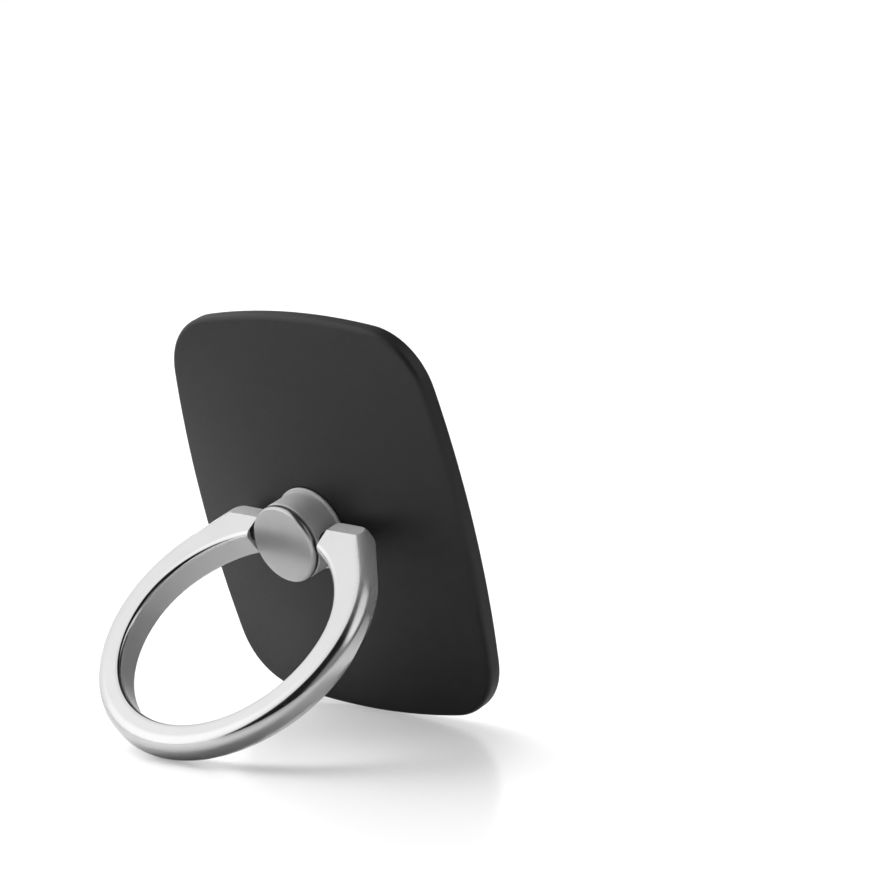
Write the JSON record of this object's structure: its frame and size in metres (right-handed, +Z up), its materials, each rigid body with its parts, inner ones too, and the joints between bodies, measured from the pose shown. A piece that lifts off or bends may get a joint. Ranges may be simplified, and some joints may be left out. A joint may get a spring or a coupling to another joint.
{
  "type": "phone ring holder",
  "caption": "Crowned black plate that sticks to the back of a phone, with a swivelling metal hub and a hinged finger ring that folds flat or props the phone up.",
  "frame": {"origin": "on the ground, under the middle of the holder as it stands propped on its ring", "axes": "+X across the plate, +Y from the finger ring towards the plate's back, +Z up"},
  "size_m": [0.035, 0.0312, 0.0395],
  "materials": {
    "plate_black": "matte black coat with a fine grain",
    "ring_metal": "satin-polished plated metal",
    "spring_steel": "plain drawn steel",
    "washer_black": "plain black plastic",
    "pad_foam": "black foam with an adhesive face"
  },
  "bodies": {
    "plate": {"base_plate": "plate_black", "adhesive_pad": "pad_foam"},
    "hub": {"swivel_hub": "ring_metal", "hub_cap": "ring_metal", "thrust_washer": "washer_black", "disc_spring": "spring_steel", "retaining_clip": "spring_steel", "hinge_washer_left": "washer_black", "hinge_washer_right": "washer_black"},
    "ring": {"finger_ring": "ring_metal", "hinge_pin": "spring_steel"}
  },
  "joints": [
    {"name": "swivel", "type": "hinge", "parent": "plate", "child": "hub", "pos_m": [0, 0.0034, 0.01821], "axis": [0, -0.9556, -0.2946], "continuous": true},
    {"name": "ring_flip", "type": "hinge", "parent": "hub", "child": "ring", "pos_m": [0, 0.0034, 0.01821], "axis": [0.999, 0.0128, -0.0417], "range_deg": [-116.6, 63.4]}
  ]
}
